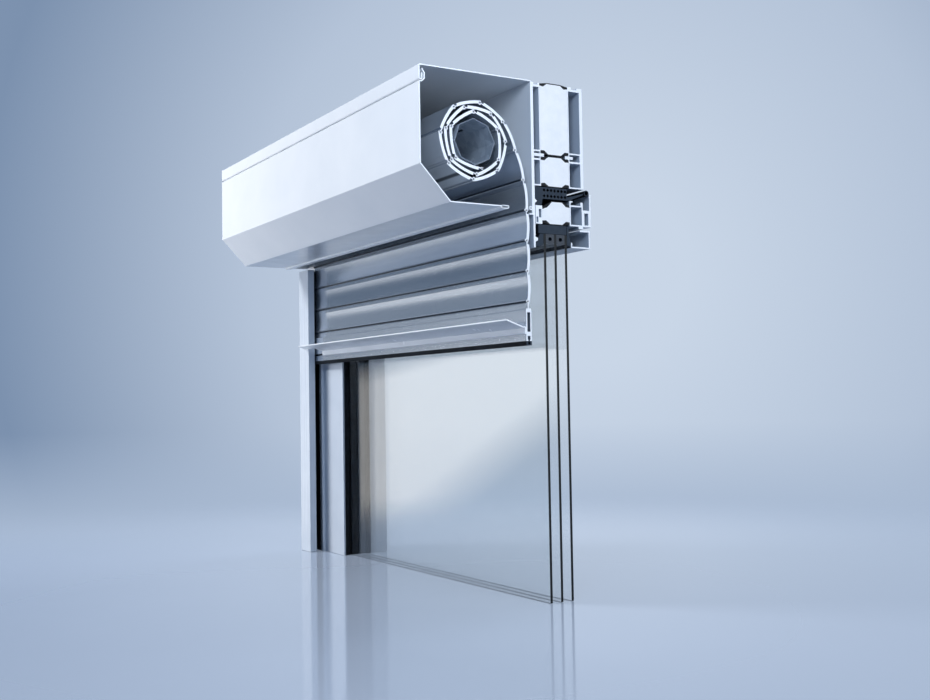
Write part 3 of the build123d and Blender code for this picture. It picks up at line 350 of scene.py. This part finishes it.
def add_piece(name, mesh, slot, body):
    """Object made from a bmesh with its slot's finish; it moves with a body."""
    data = bpy.data.meshes.new(name)
    bmesh.ops.recalc_face_normals(mesh, faces=mesh.faces)
    mesh.to_mesh(data)
    mesh.free()
    data.materials.append(finishes[slot])
    piece = bpy.data.objects.new(name, data)
    bpy.context.scene.collection.objects.link(piece)
    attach(piece, body)
    return piece


# Brush pile in the rail's slot. Real bristles are 0.1 mm thick, drawn as tufts 1.3 mm apart
SLOT_FRONT_Y = 21.56
SLOT_BACK_Y = 34.96
TUFT_STEP = 1.3
TUFT_RADIUS = 0.42
TUFT_SIDES = 3
TUFT_BEND = 0.65
TUFT_TAPER = 0.7
TUFT_ROWS = (-342.2, -341.0, -339.8)
TUFT_LEAN_X = 0.35
TUFT_LEAN_Z = 0.45
TUFT_SHORTEST = 0.8
FRONT_REACH = 1.7
BACK_REACH = 0.8
ROOT_DEPTH = 0.8


def add_tuft(mesh, root, tip, radius):
    """Three-sided tuft of bristles that narrows from its root to its tip."""
    way = (tip - root).normalized()
    across = way.orthogonal().normalized()
    rings = []
    for along, size in ((0.0, radius), (TUFT_BEND, TUFT_TAPER * radius)):
        middle = root.lerp(tip, along)
        turns = [Matrix.Rotation(math.radians(360 / TUFT_SIDES * k), 3, way) for k in range(TUFT_SIDES)]
        rings.append([mesh.verts.new(middle + turn @ across * size) for turn in turns])
    point = mesh.verts.new(tip)
    mesh.faces.new(rings[0])
    for k in range(TUFT_SIDES):
        after = (k + 1) % TUFT_SIDES
        mesh.faces.new((rings[0][k], rings[0][after], rings[1][after], rings[1][k]))
        mesh.faces.new((rings[1][k], rings[1][after], point))


random.seed(7)
pile = bmesh.new()
for wall_y, reach, outward in ((SLOT_FRONT_Y, FRONT_REACH, 1), (SLOT_BACK_Y, BACK_REACH, -1)):
    for row_x in TUFT_ROWS:
        for count in range(int(RAIL_HEIGHT / TUFT_STEP)):
            root_z = (count + 0.5) * TUFT_STEP
            lean_x = random.uniform(-TUFT_LEAN_X, TUFT_LEAN_X)
            lean_z = random.uniform(-TUFT_LEAN_Z, TUFT_LEAN_Z)
            length = reach * random.uniform(TUFT_SHORTEST, 1.0)
            root = Vector((row_x, wall_y - outward * ROOT_DEPTH, root_z)) * MM
            tip = Vector((row_x + lean_x, wall_y + outward * length, root_z + lean_z)) * MM
            add_tuft(pile, root, tip, TUFT_RADIUS * MM)
brush_pile = add_piece("brush_pile_tufts", pile, "brush_pile", "window_and_box")
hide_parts("guide_brushes")


# Black liner between slot and slats, with rounded lips, as an outline in plan; it is put there to make the
# slot dark, standing in for the shade inside it
LINER_BACK_X = -362.0
LINER_LIP_X = -344.2
LINER_LIP_OUT = 0.15
LINER_WALL = 0.45
LINER_INSET = 0.5
liner_outline = [
    (LINER_LIP_X, SLOT_FRONT_Y), (LINER_LIP_X + LINER_LIP_OUT, SLOT_FRONT_Y + LINER_WALL / 2),
    (LINER_LIP_X, SLOT_FRONT_Y + LINER_WALL), (LINER_BACK_X + LINER_WALL, SLOT_FRONT_Y + LINER_WALL),
    (LINER_BACK_X + LINER_WALL, SLOT_BACK_Y - LINER_WALL), (LINER_LIP_X, SLOT_BACK_Y - LINER_WALL),
    (LINER_LIP_X + LINER_LIP_OUT, SLOT_BACK_Y - LINER_WALL / 2), (LINER_LIP_X, SLOT_BACK_Y),
    (LINER_BACK_X, SLOT_BACK_Y), (LINER_BACK_X, SLOT_FRONT_Y)]
liner = bmesh.new()
foot_ring = [liner.verts.new(Vector((x, y, LINER_INSET)) * MM) for x, y in liner_outline]
head_ring = [liner.verts.new(Vector((x, y, RAIL_HEIGHT - LINER_INSET)) * MM) for x, y in liner_outline]
liner.faces.new(foot_ring)
liner.faces.new(head_ring)
for k in range(len(liner_outline)):
    after = (k + 1) % len(liner_outline)
    liner.faces.new((foot_ring[k], foot_ring[after], head_ring[after], head_ring[k]))
add_piece("dark_slot_liner_for_shade", liner, "polyamide", "window_and_box")


# Button head screws. The dome gives shares of the head's radius with heights
SCREW_SIDES = 36
HEX_ANGLE = 60
SCREW_POINT = 0.6
POINT_TAPER = 0.7
HEAD_DOME = ((1.0, 0.9), (0.93, 1.35), (0.8, 1.7), (0.6, 1.95))
HEAD_TOP = HEAD_DOME[-1][1]
SOCKET_SHARE = 0.36
SOCKET_BEVEL = 0.15
SOCKET_FLOOR = 0.8


def add_screw(mesh, seat, way, radius, head_radius, length):
    """Screw with a hexagon socket; its head's underside is at seat and way points out of the head."""
    across = way.orthogonal().normalized()
    socket = SOCKET_SHARE * head_radius
    tip = (POINT_TAPER * radius, -length)
    shaft = [tip, (radius, SCREW_POINT - length), (radius, 0.0), (head_radius, 0.0)]
    dome = [(share * head_radius, height) for share, height in HEAD_DOME]
    hollow = [(socket + SOCKET_BEVEL, HEAD_TOP), (socket, HEAD_TOP - SOCKET_BEVEL), (socket, SOCKET_FLOOR)]
    rings = []
    for size, height in shaft + dome + hollow:
        ring = []
        for k in range(SCREW_SIDES):
            angle = 360 * k / SCREW_SIDES
            off_flat = math.radians(angle % HEX_ANGLE - HEX_ANGLE / 2)
            stretch = 1 / math.cos(off_flat) if (size, height) in hollow else 1
            turned = Matrix.Rotation(math.radians(angle), 3, way) @ across
            ring.append(mesh.verts.new((seat + turned * size * stretch + way * height) * MM))
        rings.append(ring)
    for low, high in zip(rings, rings[1:]):
        for k in range(SCREW_SIDES):
            after = (k + 1) % SCREW_SIDES
            face = mesh.faces.new((low[k], low[after], high[after], high[k]))
            face.smooth = True
    mesh.faces.new(rings[0])
    mesh.faces.new(rings[-1])


OUT_OF_END = Vector((-1, 0, 0))
OUT_OF_FACE = Vector((0, -1, 0))
SCREW_R = 2.0
SCREW_HEAD_R = 3.8
END_SEAT_X = -398.0
BRACKET_BOLTS_Y = (-78.5, -30.5)
BRACKET_BOLTS_Z = (613.1, 661.1)
BRACKET_BOLT_LENGTH = 5.5
PORT_SEAT = Vector((END_SEAT_X, 36.2, 552.0))
PORT_SCREW_R = 1.4
PORT_HEAD_R = 3.0
PORT_SCREW_LENGTH = 18.0
COVER_SCREWS_X = (0.0, -250.0)
COVER_SEAT_Y = 38.4
COVER_SCREWS_Z = 700.0
COVER_SCREW_LENGTH = 4.0
RAIL_SCREWS_X = -370.5
RAIL_SEAT_Y = 38.2
RAIL_SCREWS_Z = (60.0, 271.0, 482.0)
RAIL_SCREW_LENGTH = 4.8

screws = bmesh.new()
for y in BRACKET_BOLTS_Y:
    for z in BRACKET_BOLTS_Z:
        seat = Vector((END_SEAT_X, y, z))
        add_screw(screws, seat, OUT_OF_END, SCREW_R, SCREW_HEAD_R, BRACKET_BOLT_LENGTH)
add_screw(screws, PORT_SEAT, OUT_OF_END, PORT_SCREW_R, PORT_HEAD_R, PORT_SCREW_LENGTH)
for x in COVER_SCREWS_X:
    seat = Vector((x, COVER_SEAT_Y, COVER_SCREWS_Z))
    add_screw(screws, seat, OUT_OF_FACE, SCREW_R, SCREW_HEAD_R, COVER_SCREW_LENGTH)
for z in RAIL_SCREWS_Z:
    seat = Vector((RAIL_SCREWS_X, RAIL_SEAT_Y, z))
    add_screw(screws, seat, OUT_OF_FACE, SCREW_R, SCREW_HEAD_R, RAIL_SCREW_LENGTH)
socket_screws = add_piece("socket_screws", screws, "bright_steel", "window_and_box")
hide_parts("screws")


# Floor sizes in metres, how strongly it shows its own colour, and where it fades
FLOOR_GLOW = 0.26
FLOOR_DROP = 0.0005
FLOOR_REACH = 4.0
FLOOR_SQUARES = 24
FADE_START = 0.3
FADE_END = 1.8


def seen_directly(tree):
    """1 where the camera, a mirror or a pane looks at a surface, 0 where its light falls on something."""
    ray = node(tree, "LightPath").outputs
    seen = node(tree, "Math", {0: ray["Is Camera Ray"], 1: ray["Is Glossy Ray"]}, operation="MAXIMUM")
    return node(tree, "Math", {0: seen, 1: ray["Is Transmission Ray"]}, operation="MAXIMUM")


def polished_floor(tree):
    """Polished pale floor that fades into the backdrop with distance, so that no horizon shows."""
    place = node(tree, "SeparateXYZ", {"Vector": node(tree, "TexCoord").outputs["Object"]})
    flat = node(tree, "CombineXYZ", {"X": place.outputs["X"], "Y": place.outputs["Y"]})
    away = node(tree, "VectorMath", {0: flat}, operation="LENGTH")
    fade = node(tree, "MapRange", {
        "Value": away, "From Min": FADE_START, "From Max": FADE_END}, interpolation_type="SMOOTHERSTEP")
    glow = node(tree, "Math", {0: seen_directly(tree), 1: FLOOR_GLOW}, operation="MULTIPLY")
    clouds = grain(tree, size_mm=400)
    colour = node(tree, "Mix", {"Factor": clouds, "A": "#868f9e", "B": "#8a93a2"}, data_type="RGBA")
    rough = grain(tree, size_mm=150, low=0.05, high=0.09)
    paint = node(tree, "BsdfPrincipled", {
        "Base Color": colour, "Roughness": rough, "IOR": 1.5,
        "Emission Color": "#b4c4da", "Emission Strength": glow})
    open_air = node(tree, "BsdfTransparent")
    return node(tree, "MixShader", {0: fade, 1: paint, 2: open_air})


floor_mesh = bpy.data.meshes.new("studio_floor")
sheet = bmesh.new()
bmesh.ops.create_grid(sheet, x_segments=FLOOR_SQUARES, y_segments=FLOOR_SQUARES, size=FLOOR_REACH)
sheet.to_mesh(floor_mesh)
sheet.free()
floor = bpy.data.objects.new("studio_floor", floor_mesh)
floor.location.z = -FLOOR_DROP
bpy.context.scene.collection.objects.link(floor)
floor_mesh.materials.append(finish("polished_floor", polished_floor))


# Wall around the part: directions of its glow and flag, with angles from them in radians
GLOW_WAY = (-0.7949, 0.5965, 0.1108)
GLOW_CORE = 0.08
GLOW_RIM = 0.29
SHADE_RING = 0.5
PALE_AGAIN = 1.2
FLAG_WAY = (-0.84, -0.485, 0.242)
FLAG_CORE = 0.24
FLAG_RIM = 0.62
# Heights between which the wall turns plain towards its foot, as parts of the direction looked in
LOW_START = -0.02
LOW_END = -0.1
# White card: slope and height of its lower and upper edge, how soft they are, and where its left side ends
CARD_SIDE = (0.5, -0.866, 0.0)
CARD_LOWER = (0.772, -0.075)
CARD_LOWER_SOFT = 0.025
CARD_UPPER = (0.265, 0.045)
CARD_UPPER_SOFT = 0.01
CARD_LEFT = (-0.42, -0.34)
FILL = 0.35


def angle_from(tree, direction, way):
    """Angle between the direction looked in and a fixed one."""
    along = node(tree, "VectorMath", {0: direction, 1: way}, operation="DOT_PRODUCT")
    return node(tree, "Math", {0: along}, operation="ARCCOSINE")


def studio_wall(tree, direction, height, mirrored):
    """Pale wall with a soft glow behind the part, and a darker flag that shows in reflections only."""
    off_glow = angle_from(tree, direction, GLOW_WAY)
    inner = node(tree, "MapRange", {"Value": off_glow, "From Min": GLOW_CORE, "From Max": GLOW_RIM})
    outer = node(tree, "MapRange", {"Value": off_glow, "From Min": GLOW_RIM, "From Max": SHADE_RING})
    around = node(tree, "MapRange", {"Value": off_glow, "From Min": SHADE_RING, "From Max": PALE_AGAIN})
    off_flag = angle_from(tree, direction, FLAG_WAY)
    dark = node(tree, "MapRange", {"Value": off_flag, "From Min": FLAG_RIM, "From Max": FLAG_CORE})
    flag = node(tree, "Math", {0: dark, 1: mirrored}, operation="MULTIPLY")
    low = node(tree, "MapRange", {"Value": height, "From Min": LOW_START, "From Max": LOW_END})
    glow = node(tree, "Mix", {"Factor": inner, "A": "#c9d6e7", "B": "#b4c3d8"}, data_type="RGBA")
    ringed = node(tree, "Mix", {"Factor": outer, "A": glow, "B": "#7c91ae"}, data_type="RGBA")
    wall = node(tree, "Mix", {"Factor": around, "A": ringed, "B": "#9fb1ca"}, data_type="RGBA")
    flagged = node(tree, "Mix", {"Factor": flag, "A": wall, "B": "#45596f"}, data_type="RGBA")
    return node(tree, "Mix", {"Factor": low, "A": flagged, "B": "#a9bad2"}, data_type="RGBA")


def white_card(tree, direction, height, mirrored):
    """1 on a white card that shows in reflections only, mostly in the pane, 0 elsewhere."""
    side = node(tree, "VectorMath", {0: direction, 1: CARD_SIDE}, operation="DOT_PRODUCT")
    lower = node(tree, "Math", {0: side, 1: CARD_LOWER[0], 2: CARD_LOWER[1]}, operation="MULTIPLY_ADD")
    upper = node(tree, "Math", {0: side, 1: CARD_UPPER[0], 2: CARD_UPPER[1]}, operation="MULTIPLY_ADD")
    over_lower = node(tree, "Math", {0: height, 1: lower}, operation="SUBTRACT")
    under_upper = node(tree, "Math", {0: upper, 1: height}, operation="SUBTRACT")
    over = node(tree, "MapRange", {
        "Value": over_lower, "From Min": -CARD_LOWER_SOFT, "From Max": CARD_LOWER_SOFT})
    under = node(tree, "MapRange", {
        "Value": under_upper, "From Min": -CARD_UPPER_SOFT, "From Max": CARD_UPPER_SOFT})
    left = node(tree, "MapRange", {"Value": side, "From Min": CARD_LEFT[0], "From Max": CARD_LEFT[1]})
    strip = node(tree, "Math", {0: over, 1: under}, operation="MULTIPLY")
    card = node(tree, "Math", {0: strip, 1: left}, operation="MULTIPLY")
    return node(tree, "Math", {0: card, 1: mirrored}, operation="MULTIPLY")


world = bpy.data.worlds.new("studio")
bpy.context.scene.world = world
world.use_nodes = True
tree = world.node_tree
tree.nodes.clear()
direction = node(tree, "TexCoord").outputs["Generated"]
height = node(tree, "SeparateXYZ", {"Vector": direction}).outputs["Z"]
mirrored = node(tree, "LightPath").outputs["Is Glossy Ray"]
wall = studio_wall(tree, direction, height, mirrored)
card = white_card(tree, direction, height, mirrored)
backdrop = node(tree, "Mix", {"Factor": card, "A": wall, "B": "#ffffff"}, data_type="RGBA")
shown = node(tree, "Background", {"Color": backdrop, "Strength": 1.0})
fill = node(tree, "Background", {"Color": "#93b3e0", "Strength": FILL})
both = node(tree, "MixShader", {0: seen_directly(tree), 1: fill, 2: shown})
node(tree, "OutputWorld", {"Surface": both})


# Lamps: place and size in metres, power in watts, colour
LAMP_TARGET = (0.0, 0.0, 0.4)
LAMPS = {
    "key_left": ((-1.55, -1.95, 2.01), (1.2, 0.5), 68, "#ffffff"),
    "low_left": ((-1.65, -1.5, 0.45), (0.8, 0.5), 22, "#ffffff"),
    "sawn_end": ((2.7, 0.5, 1.1), (1.4, 1.4), 38, "#f5f9fe"),
    "near_end": ((1.0, -0.5, 0.95), (0.3, 0.3), 3.6, "#d3e3f6"),
    "room_side": ((-0.5, 2.6, 1.7), (1.6, 1.0), 36, "#eef4fc"),
}
# Panes and gloss coat would show these as white squares
UNMIRRORED = ("key_left", "low_left", "near_end", "room_side")


def soft_lamp(name, place, size, power, colour):
    """Soft box that faces the middle of the part."""
    lamp = bpy.data.lights.new(name, "AREA")
    lamp.shape = "RECTANGLE"
    lamp.size, lamp.size_y = size
    lamp.energy = power
    lamp.color = linear(colour)[:3]
    holder = bpy.data.objects.new(name, lamp)
    holder.location = place
    holder.rotation_euler = (Vector(LAMP_TARGET) - Vector(place)).to_track_quat("-Z", "Y").to_euler()
    bpy.context.scene.collection.objects.link(holder)
    holder.visible_camera = False
    holder.visible_glossy = name not in UNMIRRORED
    holder.visible_transmission = name not in UNMIRRORED


for name, (place, size, power, colour) in LAMPS.items():
    soft_lamp(name, place, size, power, colour)


# Camera: place in metres, turned from looking along +Y
CAMERA_PLACE = (1.7473, -0.8709, 0.2815)
AZIMUTH = math.radians(59.43)
ELEVATION = math.radians(-2.57)
ROLL = math.radians(-0.92)
LENS = 45.03
SENSOR_WIDTH = 36.0

camera = bpy.data.objects.new("camera", bpy.data.cameras.new("camera"))
camera.data.lens = LENS
camera.data.sensor_width = SENSOR_WIDTH
level = math.cos(ELEVATION)
back = Vector((math.sin(AZIMUTH) * level, -math.cos(AZIMUTH) * level, math.sin(ELEVATION)))
right = Vector((math.cos(AZIMUTH), math.sin(AZIMUTH), 0.0))
up = back.cross(right)
rolled_right = math.cos(ROLL) * right + math.sin(ROLL) * up
rolled_up = math.cos(ROLL) * up - math.sin(ROLL) * right
turn = Matrix((rolled_right, rolled_up, back)).transposed()
camera.matrix_world = Matrix.Translation(CAMERA_PLACE) @ turn.to_4x4()
bpy.context.scene.collection.objects.link(camera)
bpy.context.scene.camera = camera
bpy.context.scene.view_settings.view_transform = "Standard"
